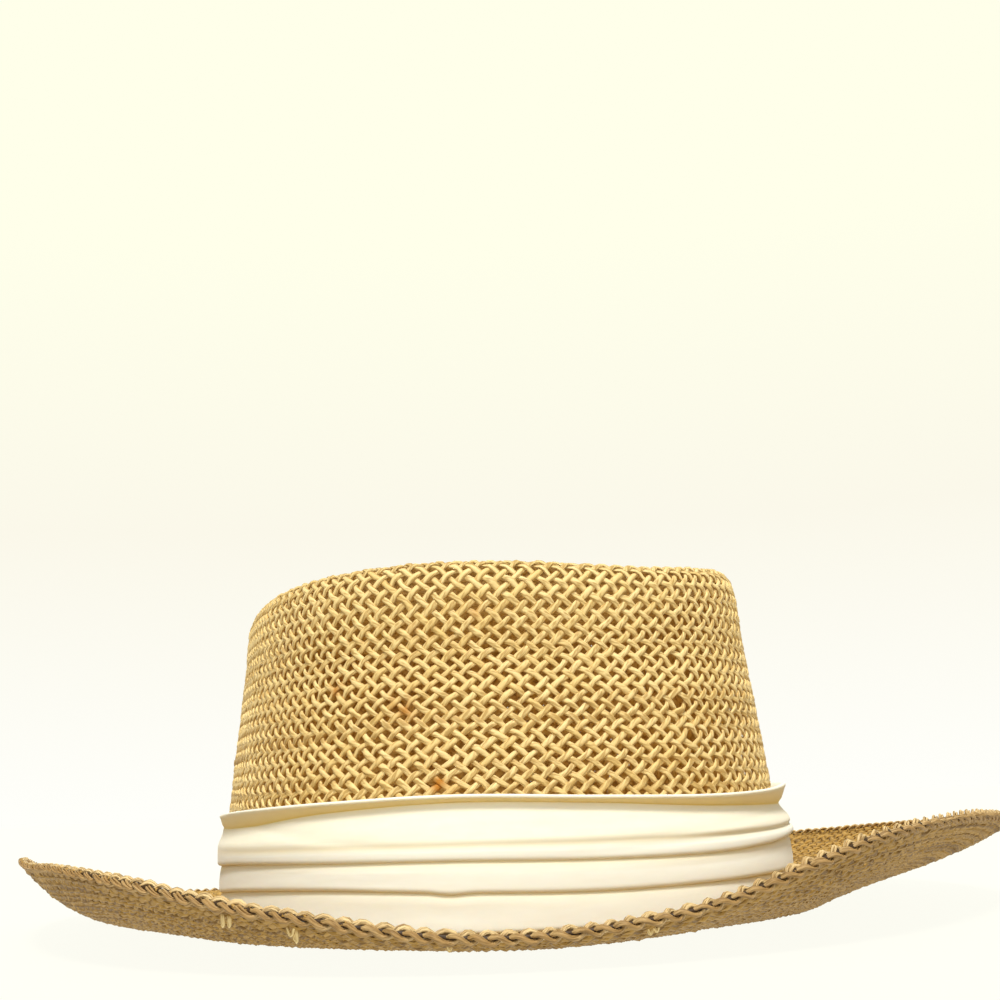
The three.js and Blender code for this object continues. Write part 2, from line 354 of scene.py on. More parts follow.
def weave_family(zone, strands, rows, lean, cover, seed, wander, rise, ring_places=(-0.2, 0.2), growth=0.0):
    """One family. cover is the share of the spacing that a strand fills, or a function of the place."""
    points, normals = zone
    chance = np.random.default_rng(seed)
    crossings = np.arange(rows)
    rings = (crossings[:, None] + np.array(ring_places)).ravel()
    rings = np.concatenate([[-0.5], rings, [rows - 0.5]])
    repeats = [1] + [len(ring_places)] * rows + [1]
    over = np.where((crossings % 2 == 0) == (lean > 0), 1.0, -1.0)
    over = np.repeat(np.concatenate([[tuck_level], over, [tuck_level]]), repeats)
    shape = (strands, len(rings))
    across = np.broadcast_to(rows_to_shares(rings, rows, growth), shape)
    turns = (np.arange(strands)[:, None] - lean * rings[None, :] / 2) / strands
    place = look_up(points, turns, across)
    up = look_up(normals, turns, across)
    along = unit(np.gradient(place, axis=1))
    side = unit(np.cross(up, along))
    spacing = np.abs((side * (np.roll(place, -1, axis=0) - place)).sum(axis=-1))
    drift = np.zeros(shape)
    for length, amount in wander_waves:
        start = chance.uniform(0, 2 * math.pi, (strands, 1))
        drift += amount * np.sin(2 * math.pi * rings[None, :] / length + start)
    drift += uneven_place * np.repeat(chance.normal(0, 1, (strands, rows + 2)), repeats, axis=1)
    uneven_steps = np.repeat(chance.normal(0, 1, (strands, rows + 2)), repeats, axis=1)
    level = over * rise * (1 + uneven_level * uneven_steps)
    centres = place + side * (drift * wander)[..., None] + up * level[..., None]
    azimuths = np.degrees(np.arctan2(place[..., 1], place[..., 0]))
    share = cover(azimuths, across) if callable(cover) else cover
    unevenness = 1 + uneven_strand_width * chance.normal(0, 1, (strands, 1))
    unevenness = unevenness + uneven_ring_width * chance.normal(0, 1, shape)
    widths = share * spacing * np.clip(unevenness, least_width, most_width)
    tone = middle_tone + strand_tone_spread * chance.normal(0, 1, (strands, 1))
    tone = tone + ring_tone_spread * chance.normal(0, 1, shape)
    return strand_family(centres, side, up, widths, widths * flatness, np.clip(tone, 0, 1))


# %% [markdown]
# Many sizes change round the head. They stand in short tables with a row for each azimuth, in degrees from
# the hat's right side towards its back, and every value between two rows lies on a smooth closed line.

# %% A size that changes round the head


def table_round_the_head(rows, column, azimuths):
    """One column of a table at any azimuths, in degrees, as a smooth closed line."""
    places = np.array([row["azimuth"] for row in rows], float)
    values = np.array([row[column] for row in rows], float)
    places = np.concatenate([places - 360, places, places + 360])
    values = np.tile(values, 3)
    slopes = np.zeros_like(values)
    slopes[1:-1] = (values[2:] - values[:-2]) / (places[2:] - places[:-2])
    start = np.searchsorted(places, azimuths, side="right") - 1
    span = places[start + 1] - places[start]
    share = (azimuths - places[start]) / span
    return cubic(values[start], values[start + 1], slopes[start] * span, slopes[start + 1] * span, share)


def lifted(zone, lifts, distance, reach):
    """The zone, raised by a table's lifts near the line from which the distance is measured."""
    lift = table_round_the_head(lifts, "lift", column_degrees)[:, None] * mm
    zone[0][..., 2] += lift * np.exp(-((distance / reach) ** 2))
    return with_normals(zone[0])


def smooth_share(values, start, end):
    share = np.clip((values - start) / (end - start), 0, 1)
    return share * share * (3 - 2 * share)


# %% [markdown]
# The crown's weave runs from the shallow trough in the top, over the rim and down the wall to the brim. The
# holes counted in the photograph give 116 strands each way round the head, with rows 2 mm apart. The rim
# stands a little proud of the solid's, as the strands that bend over it do, and not equally all round.

# %% The crown's surface
trough_ring = 3
brim_start_ring = 20
rim_ring = 8
crown_strands = 116
crown_row_pitch = 2.02 * mm
surface_rows = 260
rim_reach = 11 * mm
rim_lifts = table(
    "azimuth lift",
    (20, 1.6),
    (90, 1.4),
    (160, 1.1),
    (195, 0.7),
    (215, 1.5),
    (240, 2.6),
    (255, 2.5),
    (268, 1.9),
    (283, 0.9),
    (297, 1.5),
    (312, 2.8),
    (335, 2.6),
)

crown_zone = zone_surface(trough_ring, brim_start_ring, surface_rows)
rim_points = round_the_head(middle_lines[:, rim_ring], column_places)
rim_distance = np.linalg.norm(crown_zone[0] - rim_points[:, None], axis=-1)
crown_zone = lifted(crown_zone, rim_lifts, rim_distance, rim_reach)
crown_length = mean_length(crown_zone[0])
crown_rows = round(crown_length / crown_row_pitch)
print("crown's weave, mm:", round(crown_length / mm, 1), "rows:", crown_rows)

# %% [markdown]
# A strand of such a hat fills a little over half of its spacing, and the rest are holes. At the back and on
# the top, which the photograph doesn't show, the weave is drawn tighter, so that the pale room behind the
# hat doesn't shine through the holes in front. They look dark, as in the photograph.

# %% How open the crown's weave is
front_azimuth = 255
open_cover = 0.53
tight_cover = 1.06
tight_from_degrees = (82, 108)
open_from_share = (0.11, 0.18)


def crown_cover(azimuths, across):
    behind = smooth_share(np.abs(degrees_apart(azimuths, front_azimuth)), *tight_from_degrees)
    on_top = 1 - smooth_share(across, *open_from_share)
    return open_cover + (tight_cover - open_cover) * np.maximum(behind, on_top)


# %% [markdown]
# Used straw isn't even. Here and there the strands have been pushed apart and leave a larger hole, and a
# few strands have a brown mark. Both are listed with their azimuth in degrees and height in millimetres.
# A hole's place is moved to the nearest gap of the weave before its strands are pushed aside.

# %% Larger holes and brown marks
large_holes = table(
    "azimuth height push",
    (286.5, 70, 1.0),
    (287.4, 59, 1.2),
    (288.2, 48.5, 1.1),
    (290.5, 66, 0.5),
    (268.0, 62, 0.55),
    (263.5, 64, 0.55),
    (259.5, 60, 0.5),
    (235.0, 47, 0.55),
    (281.0, 40, 0.55),
)
push_reach = 3.0 * mm
brown_marks = table(
    "azimuth height reach strength",
    (247.5, 39.0, 1.6, 1.6),
    (250.2, 38.0, 1.5, 0.35),
    (229.5, 65.5, 1.8, 0.9),
    (242.8, 58.5, 2.2, 0.9),
    (240.0, 60.5, 1.5, 0.5),
    (254.0, 84.0, 1.8, 0.45),
    (244.0, 80.0, 1.5, 0.4),
)


def crown_place(azimuth, height, snap):
    """A point on the crown's wall, moved to the middle of the nearest gap when snap is set."""
    turn = np.interp(azimuth, column_degrees, column_shares)
    column = crown_zone[0][round(turn * column_count) % column_count]
    crest = column[:, 2].argmax()
    across = np.interp(-height * mm, -column[crest:, 2], np.linspace(0, 1, surface_rows)[crest:])
    if snap:
        row = round(across * crown_rows - 0.5)
        gap = round(turn * crown_strands + row / 2 - 0.5)
        turn = (gap + 0.5 - row / 2) / crown_strands
        across = (row + 0.5) / crown_rows
    return look_up(crown_zone[0], np.array([turn]), np.array([across]))[0]


def wear(family):
    """Pushes strands away from the large holes and marks the strands near the brown places."""
    for hole in large_holes:
        away = family["centres"] - crown_place(hole["azimuth"], hole["height"], True)
        distance = np.linalg.norm(away, axis=-1, keepdims=True)
        family["centres"] += unit(away) * hole["push"] * mm * np.exp(-((distance / push_reach) ** 2))
    for mark in brown_marks:
        away = family["centres"] - crown_place(mark["azimuth"], mark["height"], False)
        distance = np.linalg.norm(away, axis=-1) / (mark["reach"] * mm)
        family["stain"] = np.maximum(family["stain"], mark["strength"] * np.exp(-(distance**2)))


# %% Weave the crown
crown_wander = 0.24 * mm
crown_rise = 0.33 * mm
crown_corners = 6
weave_pieces = []
for lean, name in ((1, "crown_strands_right"), (-1, "crown_strands_left")):
    family = weave_family(
        crown_zone, crown_strands, crown_rows, lean, crown_cover, 20 + lean, crown_wander, crown_rise
    )
    wear(family)
    weave_pieces.append(strands_to_mesh(name, family, crown_corners))

# %% [markdown]
# On the top, rings get shorter towards the middle, so a weaver adds strands on the way out. Going inwards
# that means fewer strands in each zone, so that the straw stays as dense. The last little oval is woven
# straight, as the start of such a hat is.

# %% Weave the top
top_zones = table(
    "outer inner strands",
    (1.0, 0.69, 80),
    (0.72, 0.47, 56),
    (0.50, 0.31, 38),
)
top_row_pitch = 1.75 * mm
top_cover = 0.9
top_corners = 5
top_surface = zone_surface(0, trough_ring, surface_rows)
top_length = mean_length(top_surface[0])
crown_middle = top_surface[0][0, 0]


def part_of_zone(surface, inner, outer):
    """The part of a zone between two shares of the way across."""
    turns, wanted = np.meshgrid(column_shares, np.linspace(inner, outer, surface_rows), indexing="ij")
    return [look_up(table, turns, wanted) for table in surface]


for number, top_zone in enumerate(top_zones):
    zone = part_of_zone(top_surface, top_zone["inner"], top_zone["outer"])
    rows = round(top_length * (top_zone["outer"] - top_zone["inner"]) / top_row_pitch)
    for lean, side_name in ((1, "right"), (-1, "left")):
        seed = 40 + number * 3 + lean
        family = weave_family(
            zone, top_zone["strands"], rows, lean, top_cover, seed, crown_wander, crown_rise
        )
        name = f"top_strands_{number + 1}_{side_name}"
        weave_pieces.append(strands_to_mesh(name, family, top_corners))

# %% Weave the straight patch in the middle of the top
patch_pitch = 2.9 * mm
patch_share = 0.35
patch_rings = 40
patch_width_spread = 0.08
shortest_share = 0.08
patch_ring = look_up(top_surface[0], column_shares, np.full(column_count, patch_share))
patch_half_sides = (patch_ring[:, 0].max(), patch_ring[:, 1].max())


def patch_family(across, seed):
    """Straight strands side by side. across is the axis along which they are spread."""
    chance = np.random.default_rng(seed)
    half_reach = patch_half_sides[across]
    half_length = patch_half_sides[1 - across]
    count = int(half_reach // patch_pitch)
    places = np.arange(-count, count + 1) * patch_pitch
    centres = np.zeros((len(places), patch_rings, 3))
    for number, place in enumerate(places):
        reach = half_length * math.sqrt(max(1 - (place / half_reach) ** 2, shortest_share))
        crossings = int(reach // patch_pitch)
        along = np.linspace(-(crossings + 0.5), crossings + 0.5, patch_rings)
        over = np.cos(math.pi * (along + number - count + across)) * crown_rise
        centres[number, :, across] = place + crown_wander * chance.normal() / 2
        centres[number, :, 1 - across] = along * patch_pitch
        centres[number, :, 2] = crown_middle[2] + over
    sides = np.zeros_like(centres)
    sides[..., across] = 1 if across else -1
    ups = np.zeros_like(centres)
    ups[..., 2] = 1
    widths = top_cover * patch_pitch * (1 + patch_width_spread * chance.normal(0, 1, (len(places), 1)))
    widths = np.broadcast_to(widths, centres.shape[:2])
    tone = np.clip(middle_tone + strand_tone_spread * chance.normal(0, 1, (len(places), 1)), 0, 1)
    return strand_family(centres, sides, ups, widths, widths * flatness, tone)


for across, name in ((0, "top_middle_strands_long"), (1, "top_middle_strands_wide")):
    weave_pieces.append(strands_to_mesh(name, patch_family(across, 61 + across), top_corners))

# %% [markdown]
# The brim is dense: nothing shines through it in the photograph. It widens from the wall to its edge, so it
# has more strands than the crown, its rows widen outwards, and the strands lie at a flat angle to the edge.
# They run on into the plait, where a maker turns their ends in. In front the edge is curled up a little
# more than the solid's, over its last few millimetres.

# %% Weave the brim
plait_ring = ring_count
brim_strands = 216
brim_cover = 0.87
brim_growth = 0.6
brim_row_pitch = 1.08 * mm
brim_wander = 0.16 * mm
brim_rise = 0.32 * mm
# painted shade: the brim's strands are paler on their upper side and deeper on their underside
brim_bleaching = 0.32
curl_reach = 5 * mm
edge_lifts = table(
    "azimuth lift",
    (90, 0.0),
    (228, 0.0),
    (236, 0.6),
    (241, 1.0),
    (250, 1.2),
    (258, 1.45),
    (266, 1.8),
    (271, 1.5),
    (276, 0.9),
    (283, 0.0),
)
brim_zone = zone_surface(brim_start_ring - 1, plait_ring, surface_rows)
edge_distance = np.linalg.norm(brim_zone[0] - brim_zone[0][:, -1:], axis=-1)
brim_zone = lifted(brim_zone, edge_lifts, edge_distance, curl_reach)
brim_length = mean_length(brim_zone[0])
brim_rows = round(brim_length / brim_row_pitch)
print("brim's weave, mm:", round(brim_length / mm, 1), "rows:", brim_rows)
brim_corners = 5
brim_pieces = []
for lean, name in ((1, "brim_strands_right"), (-1, "brim_strands_left")):
    family = weave_family(
        brim_zone, brim_strands, brim_rows, lean, brim_cover, 80 + lean, brim_wander, brim_rise,
        ring_places=(0.0,), growth=brim_growth,
    )
    family["bleaching"] = brim_bleaching
    brim_pieces.append(strands_to_mesh(name, family, brim_corners))

# %% [markdown]
# A few ends of straw have worked loose under the brim's front. Each is a short loop that hangs from the
# weave. The list gives its azimuth, its distance from the crown's axis and its length in millimetres.

# %% Loose straw ends
loose_ends = table(
    "azimuth distance length spread",
    (232.9, 156.5, 2.6, 0.5),
    (233.5, 156.5, 2.3, 0.5),
    (239.0, 157.0, 1.7, 1.6),
    (239.3, 156.5, 2.3, 1.0),
    (239.4, 156.5, 2.7, 0.4),
    (251.6, 158.0, 1.0, 0.8),
    (266.8, 160.0, 1.2, 1.0),
    (267.3, 160.0, 0.9, -1.0),
)
loop_steps = np.linspace(0, 1, 9)
loop_width = 0.8 * mm
loop_flatness = 0.8
loop_depth = 0.4 * mm
loop_corners = 5
brim_distances = np.linalg.norm(brim_zone[0][..., :2], axis=-1)
loops = []
for end in loose_ends:
    turn = np.interp(end["azimuth"], column_degrees, column_shares)
    distances = brim_distances[round(turn * column_count) % column_count]
    across = np.interp(end["distance"] * mm, distances, np.linspace(0, 1, surface_rows))
    root, up = [look_up(table, np.array([turn]), np.array([across]))[0] for table in brim_zone]
    sideways = np.array([-math.sin(math.radians(end["azimuth"])), math.cos(math.radians(end["azimuth"])), 0])
    hang = np.sin(loop_steps * math.pi)[:, None] * np.array([0, 0, -end["length"] * mm])
    spread = (loop_steps - 0.5)[:, None] * sideways * end["spread"] * mm
    loops.append(root - up * loop_depth + hang + spread)
loops = np.array(loops)
loop_along = unit(np.gradient(loops, axis=1))
loop_outwards = np.broadcast_to(unit(loops[:, :1] * [1, 1, 0]), loops.shape)
loop_sides = unit(np.cross(loop_outwards, loop_along))
loop_widths = np.full(loops.shape[:2], loop_width)
loop_ups = np.cross(loop_along, loop_sides)
loop_family = strand_family(loops, loop_sides, loop_ups, loop_widths, loop_widths * loop_flatness, 1.0)
weave_pieces.append(strands_to_mesh("loose_straw_ends", loop_family, loop_corners))
for piece in weave_pieces + brim_pieces:
    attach(piece, "root")
    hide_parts("woven_hood")

# %% [markdown]
# The edge is a plait of three strands, and each strand is a pair of straws. Seen from the side the strands
# cross over one another in turn, and the formula for that is short: each strand swings once from side to
# side while it rises and sinks twice, and the three do so a third of a swing apart. The plait is fuller in
# front than at the sides. Its upper loops are painted with a paler tone than the lower ones, which is
# painted light and shade. The turned-in ends lie inside it as a core coloured dark brown, which is painted
# shade and shows between the loops.

# %% Plait the edge
plait_sizes = table(
    "azimuth size",
    (30, 0.8),
    (120, 0.8),
    (165, 0.62),
    (185, 0.5),
    (200, 0.6),
    (220, 0.85),
    (245, 1.0),
    (270, 1.0),
    (290, 0.95),
    (315, 0.85),
    (340, 0.8),
)
swing_length = 13 * mm
plait_swing = 1.45 * mm
plait_rise = 0.8 * mm
plait_strand_width = 1.3 * mm
plait_tilt = math.radians(30)
plait_steps = 1100
plait_corners = 6
plait_strands = 3
straws_each = 2
straw_offset_share = 0.27
straw_width_share = 0.54
straw_height_share = 0.75
straw_wander = 0.05 * mm
width_step_rings = 10
tone_step_rings = 20
uneven_waves = (17, 41, 73, 119)
uneven_size = 0.22
uneven_phase = 0.35
uneven_swing = 0.15
uneven_plait_width = 0.1
plait_tone = 0.4
plait_tone_spread = 0.14
# painted light and shade: how much paler the upper loops are than the lower ones
upper_bleaching = 0.5

steps_round = np.arange(plait_steps) / plait_steps * segments
plait_loop = round_the_head(plait_line, steps_round)
edge_ring = round_the_head(middle_lines[:, ring_count - 1], steps_round)
plait_degrees = steps_round / segments * 360
plait_size = table_round_the_head(plait_sizes, "size", plait_degrees)
plait_loop[:, 2] += table_round_the_head(edge_lifts, "lift", plait_degrees) * mm
plait_along = unit(np.roll(plait_loop, -1, axis=0) - np.roll(plait_loop, 1, axis=0))
plait_out = plait_loop - edge_ring
plait_out = unit(plait_out - plait_along * (plait_out * plait_along).sum(axis=-1, keepdims=True))
plait_up = np.cross(plait_out, plait_along)
plait_broad = plait_up * math.cos(plait_tilt) - plait_out * math.sin(plait_tilt)
plait_face = np.cross(plait_along, plait_broad)
plait_walk = np.linalg.norm(plait_loop - np.roll(plait_loop, 1, axis=0), axis=-1)
plait_length = plait_walk.sum()
swings = round(plait_length / swing_length)
plait_share = np.cumsum(plait_walk) / plait_length
chance = np.random.default_rng(5)
uneven = np.zeros(plait_steps)
for waves in uneven_waves:
    uneven += uneven_size * np.sin(2 * math.pi * (waves * plait_share + chance.uniform()))
braid = []
upper_shares = []
for number in range(plait_strands):
    phase = 2 * math.pi * (swings * plait_share + number / plait_strands) + uneven_phase * uneven
    swing = np.sin(phase) * plait_swing * plait_size * (1 + uneven_swing * uneven)
    rise = np.sin(2 * phase) * plait_rise * plait_size
    braid.append(plait_loop + plait_broad * swing[:, None] + plait_face * rise[:, None])
    upper_shares.append(np.sin(phase))
braid = np.array(braid)
braid_along = unit(np.roll(braid, -1, axis=1) - np.roll(braid, 1, axis=1))
braid_side = unit(np.cross(np.broadcast_to(plait_face, braid.shape), braid_along))
straws = np.repeat(np.arange(plait_strands), straws_each)
width_steps = chance.normal(0, 1, (plait_strands, plait_steps // width_step_rings))
width_steps = width_steps.repeat(width_step_rings, axis=1)
braid_widths = plait_strand_width * plait_size * (1 + uneven_plait_width * width_steps)
straw_offsets = np.array([-straw_offset_share, straw_offset_share] * plait_strands)[:, None]
straw_offsets = straw_offsets * braid_widths[straws]
offset_steps = chance.normal(0, 1, (len(straws), plait_steps // width_step_rings))
straw_offsets += straw_wander * offset_steps.repeat(width_step_rings, axis=1)
tone_steps = chance.normal(0, 1, (len(straws), plait_steps // tone_step_rings))
straw_tone_and_painted_light = plait_tone + plait_tone_spread * tone_steps.repeat(tone_step_rings, axis=1)
# painted light and shade: the tone is raised on the upper loops and lowered on the lower loops
straw_tone_and_painted_light += upper_bleaching * np.array(upper_shares)[straws]
braid_family = strand_family(
    braid[straws] + braid_side[straws] * straw_offsets[..., None],
    braid_side[straws],
    np.cross(braid_along, braid_side)[straws],
    braid_widths[straws] * straw_width_share,
    braid_widths[straws] * straw_height_share,
    np.clip(straw_tone_and_painted_light, 0, 1),
)
edge_plait = strands_to_mesh("edge_plait", braid_family, plait_corners, closed=True)
# painted shade: the core of turned-in ends is coloured dark brown to stand for the shade between the loops
core_width = 1.7 * mm
core_flatness = 0.7
every_second = slice(None, None, 2)
core_family = strand_family(
    plait_loop[None, every_second],
    np.cross(plait_face, plait_along)[None, every_second],
    plait_face[None, every_second],
    core_width * plait_size[None, every_second],
    core_width * core_flatness * plait_size[None, every_second],
    0.0,
)
edge_core = strands_to_mesh("edge_turned_ends", core_family, plait_corners, closed=True)
for piece in (edge_plait, edge_core):
    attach(piece, "root")
    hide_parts("brim_edge_plait")
print("plait's length, mm:", round(plait_length / mm), "swings:", swings)

# %% [markdown]
# The band is one strip of cotton. It starts behind, against the straw, turns over at a flared lip, dips
# into a sharp hollow, and then lies in three folds, each tucked up behind the one above it, down to a hem.
# The heights of these lines change round the head, so they stand in short tables, and every line between
# two rows of a table is a smooth one.

# %% The band's lines round the head
fold_heights = table(
    "azimuth lip hollow crease first second",
    (20, 35.4, 30.0, 24.6, 20.8, 11.8),
    (60, 35.2, 31.0, 24.6, 19.8, 11.6),
    (100, 35.2, 31.6, 24.4, 19.4, 11.4),
    (140, 34.2, 30.4, 23.6, 18.4, 10.4),
    (168, 33.4, 29.0, 22.8, 17.8, 9.6),
    (207, 34.7, 29.8, 23.6, 19.8, 12.6),
    (230, 35.8, 32.8, 24.4, 20.3, 13.6),
    (250, 36.4, 34.2, 24.4, 20.2, 12.6),
    (270, 34.9, 32.8, 23.8, 19.1, 11.4),
    (288, 33.9, 30.8, 23.7, 18.9, 11.6),
    (302, 34.4, 30.1, 24.0, 20.0, 12.0),
    (320, 36.2, 30.0, 25.0, 22.0, 12.2),
    (350, 36.2, 30.0, 25.2, 21.8, 12.0),
)
band_fullness = table(
    "azimuth flare upper middle lower crease_share",
    (20, 3.8, 4.0, 3.2, 2.4, 0.5),
    (60, 3.6, 4.0, 3.5, 3.0, 0.2),
    (100, 3.0, 3.6, 3.3, 3.0, 0.1),
    (168, 2.6, 2.7, 2.1, 1.8, 0.0),
    (207, 3.0, 3.2, 2.8, 2.5, 0.1),
    (230, 3.4, 3.5, 3.4, 3.2, 0.15),
    (270, 3.4, 3.8, 3.8, 3.7, 0.3),
    (290, 3.8, 4.1, 4.0, 3.7, 0.45),
    (320, 4.0, 4.5, 3.5, 2.0, 0.9),
    (345, 4.0, 4.3, 2.1, 0.8, 0.8),
)
pucker_azimuth = 249.3
pucker_reach = 2.2
pucker_drop = 0.5

# %% [markdown]
# The strip's cross-section is a list of stations from its turned-down upper edge to its hem. Each has a
# distance from the crown's wall and a height, both in millimetres, worked out from the lines above. A fold
# ends in a small round nose. Behind it the cloth goes up, turns, and comes down again as the next fold.
# The hem follows the wall's outer face, where it turns out into the brim. The strands stand a little proud
# of that face, so on the right side and at the back the hem cuts into the lowest of them. The third value
# says how much painted shade the cotton gets there, as a tan tint: under the lip, most of all towards the
# hollow, inside the tucks, and less on the folds.

# %% The band's cross-section
band_columns = 360
band_places = np.interp(
    np.arange(band_columns) / band_columns, foot_walk / head_girth, np.append(fine_places, segments)
)
band_degrees = band_places / segments * 360
height_columns = ("lip", "hollow", "crease", "first", "second")
lip, hollow, crease, first, second = [
    table_round_the_head(fold_heights, column, band_degrees) for column in height_columns
]
fullness_columns = ("flare", "upper", "middle", "lower", "crease_share")
flare, upper, middle, lower, crease_share = [
    table_round_the_head(band_fullness, column, band_degrees) for column in fullness_columns
]
second = second - pucker_drop * np.exp(-((degrees_apart(band_degrees, pucker_azimuth) / pucker_reach) ** 2))
hollow_offset = 1.0
crease_depth = 1.4
straw_clearance = 0.5
same = np.ones_like(lip)

hem_inset = 0.5
foot_rings = slice(foot_ring, foot_ring + 6)
foot_points = round_the_head(outer_lines[:, foot_rings], band_places)
foot_offsets = np.linalg.norm(foot_points[..., :2], axis=-1)
foot_offsets = (foot_offsets - foot_offsets[:, :1]) / mm
foot_heights = foot_points[..., 2] / mm
foot_columns = zip(lower - hem_inset, foot_offsets, foot_heights)
hem = np.array([np.interp(reach, offsets, heights) for reach, offsets, heights in foot_columns])


def nose_and_tuck(line, front, below):
    """The stations of a fold's lower edge, and of the cloth tucked up behind it, towards the fold below."""
    behind = np.maximum(below - 1.5, straw_clearance)
    return [
        (front - 0.02, line + 1.3, 0.0),
        (front - 0.1, line + 0.45, 0.1),
        (front - 0.5, line + 0.02, 0.3),
        (front - 0.9, line + 0.4, 0.5),
        (front * 0.5 + behind * 0.5 - 0.35, line + 1.5, 0.5),
        (front * 0.3 + behind * 0.7 - 0.3, line + 2.5, 0.5),
        (behind, line + 2.8, 0.5),
        (behind - 0.1, line + 2.3, 0.5),
        (behind + 0.05, line + 1.0, 0.5),
        (below * 0.5 + behind * 0.5, line - 0.35, 0.4),
    ]


# The third value of each station is painted shade: a tan tint where the cloth lies under the lip or in a
# tuck.
band_stations = [
    (same * straw_clearance, lip - 6.0, 0.3),
    (same * straw_clearance, lip - 3.2, 0.3),
    (same * 0.8, lip - 1.8, 0.2),
    (flare * 0.5, lip - 0.8, 0.0),
    (flare - 0.6, lip - 0.12, 0.0),
    (flare, lip - 0.3, 0.1),
    (flare - 0.15, lip - 0.8, 0.35),
    (flare * 0.75 + hollow_offset * 0.25, lip * 0.7 + hollow * 0.3, 0.6),
    (flare * 0.35 + hollow_offset * 0.65, lip * 0.28 + hollow * 0.72, 0.8),
    (same * hollow_offset, hollow + 0.3, 1.0),
    (same * hollow_offset + 0.25, hollow - 0.15, 0.3),
    (same * (hollow_offset * 0.8) + upper * 0.2, hollow * 0.84 + crease * 0.16, 0.16),
    (same * (hollow_offset * 0.45) + upper * 0.55, hollow * 0.5 + crease * 0.5, 0.16),
    (upper - 0.9 * crease_share, crease + 1.2, 0.16),
    (upper - 0.7 * crease_share, crease + 0.35, 0.2),
    (upper - crease_depth * crease_share, crease - 0.5, 0.3),
    (upper - 0.3 * crease_share, crease * 0.55 + first * 0.45, 0.0),
    *nose_and_tuck(first, upper, middle),
    (middle - 0.45, first - 1.6, 0.1),
    (middle - 0.15, (first + second) / 2 + 0.4, 0.0),
    *nose_and_tuck(second, middle, lower),
    (lower - 0.45, second - 1.5, 0.1),
    (lower - 0.15, (second + hem) / 2, 0.0),
    (lower - 0.1, hem + 1.3, 0.0),
    (lower - 0.15, hem + 0.35, 0.1),
    (lower - 0.6, hem, 0.3),
    (lower * 0.4 + 0.5, hem + 0.6, 0.3),
    (same * 0.8, hem + 2.0, 0.3),
    (same * straw_clearance, hem + 3.6, 0.3),
]
station_offsets = np.array([offset for offset, height, painted_shade in band_stations]).T
station_heights = np.array([height for offset, height, painted_shade in band_stations]).T
station_painted_shade = [painted_shade for offset, height, painted_shade in band_stations]

# %% [markdown]
# Cloth that is folded by hand isn't quite even. Shallow slanting wrinkles run over the folds. Each wrinkle
# is a long soft dent that stands at a place round the head, leans, and fades towards both ends.

# %% Draw the band's section and lay it round the crown
steps_between_stations = 2
section = smooth_line(np.stack([station_offsets, station_heights], axis=-1), steps_between_stations)
section_offsets, section_heights = section[..., 0], section[..., 1]
band_rows = section.shape[1]
row_stations = np.arange(band_rows) / steps_between_stations
row_painted_shade = np.interp(row_stations, range(len(band_stations)), station_painted_shade)
wrinkles = table(
    "azimuth height lean reach breadth depth",
    (300, 27.0, 2.2, 16, 0.9, 0.45),
    (318, 28.2, 2.6, 14, 0.8, 0.35),
    (290, 22.6, 1.6, 18, 0.9, 0.3),
    (305, 9.0, 2.4, 14, 1.0, 0.35),
    (295, 16.5, 1.2, 20, 1.0, 0.25),
    (262, 27.0, 0.8, 22, 1.1, 0.35),
    (222, 27.5, -2.4, 13, 1.1, 0.4),
    (238, 15.8, -1.0, 18, 0.9, 0.2),
    (212, 16.0, 1.4, 14, 0.9, 0.25),
    (250, 7.5, -0.6, 10, 1.0, 0.3),
    (232, 9.0, -1.2, 14, 1.0, 0.25),
    (30, 26.0, 2.0, 18, 1.1, 0.4),
    (80, 27.0, -1.6, 20, 1.1, 0.35),
    (120, 15.5, 1.2, 18, 1.0, 0.3),
    (150, 25.5, 2.0, 16, 1.0, 0.35),
)
dents = np.zeros_like(section_offsets)
for wrinkle in wrinkles:
    along = degrees_apart(band_degrees, wrinkle["azimuth"])[:, None] / wrinkle["reach"]
    over = (section_heights - wrinkle["height"] - wrinkle["lean"] * along) / wrinkle["breadth"]
    dents += wrinkle["depth"] * np.exp(-(along**2)) * np.exp(-(over**2))
section_offsets = np.maximum(section_offsets - dents, np.minimum(section_offsets, straw_clearance))
wall_rings = slice(rim_ring + 1, foot_ring + 1)
wall_points = round_the_head(outer_lines[:, wall_rings], band_places)[:, ::-1]
wall_radii = np.linalg.norm(wall_points[..., :2], axis=-1)
wall_heights = wall_points[..., 2]
columns = zip(section_heights * mm, wall_heights, wall_radii)
wall_behind = np.array([np.interp(heights, *wall) for heights, *wall in columns])
band_radii = wall_behind + section_offsets * mm
band_azimuths = np.radians(band_degrees)[:, None]
band_points = np.stack(
    [band_radii * np.cos(band_azimuths), band_radii * np.sin(band_azimuths), section_heights * mm], axis=-1
)

# %% Make the band from a grid
cloth = bmesh.new()
cloth.loops.layers.uv.new("cloth")
cloth_painted_shade = cloth.verts.layers.float.new("painted_shade")
bmesh.ops.create_grid(cloth, x_segments=band_columns, y_segments=band_rows - 1, size=1, calc_uvs=True)
for vertex in cloth.verts:
    column = round((vertex.co.x + 1) / 2 * band_columns)
    row = round((vertex.co.y + 1) / 2 * (band_rows - 1))
    vertex.co = Vector(band_points[column % band_columns, row]) + crown_axis
    vertex[cloth_painted_shade] = row_painted_shade[row]
bmesh.ops.remove_doubles(cloth, verts=cloth.verts, dist=0.001 * mm)
bmesh.ops.reverse_faces(cloth, faces=cloth.faces)
for face in cloth.faces:
    face.smooth = True
band_mesh = bpy.data.meshes.new("pleated_cotton_band")
cloth.to_mesh(band_mesh)
cloth.free()
band = add_object("pleated_cotton_band", band_mesh)
cloth_thickness = 0.34 * mm
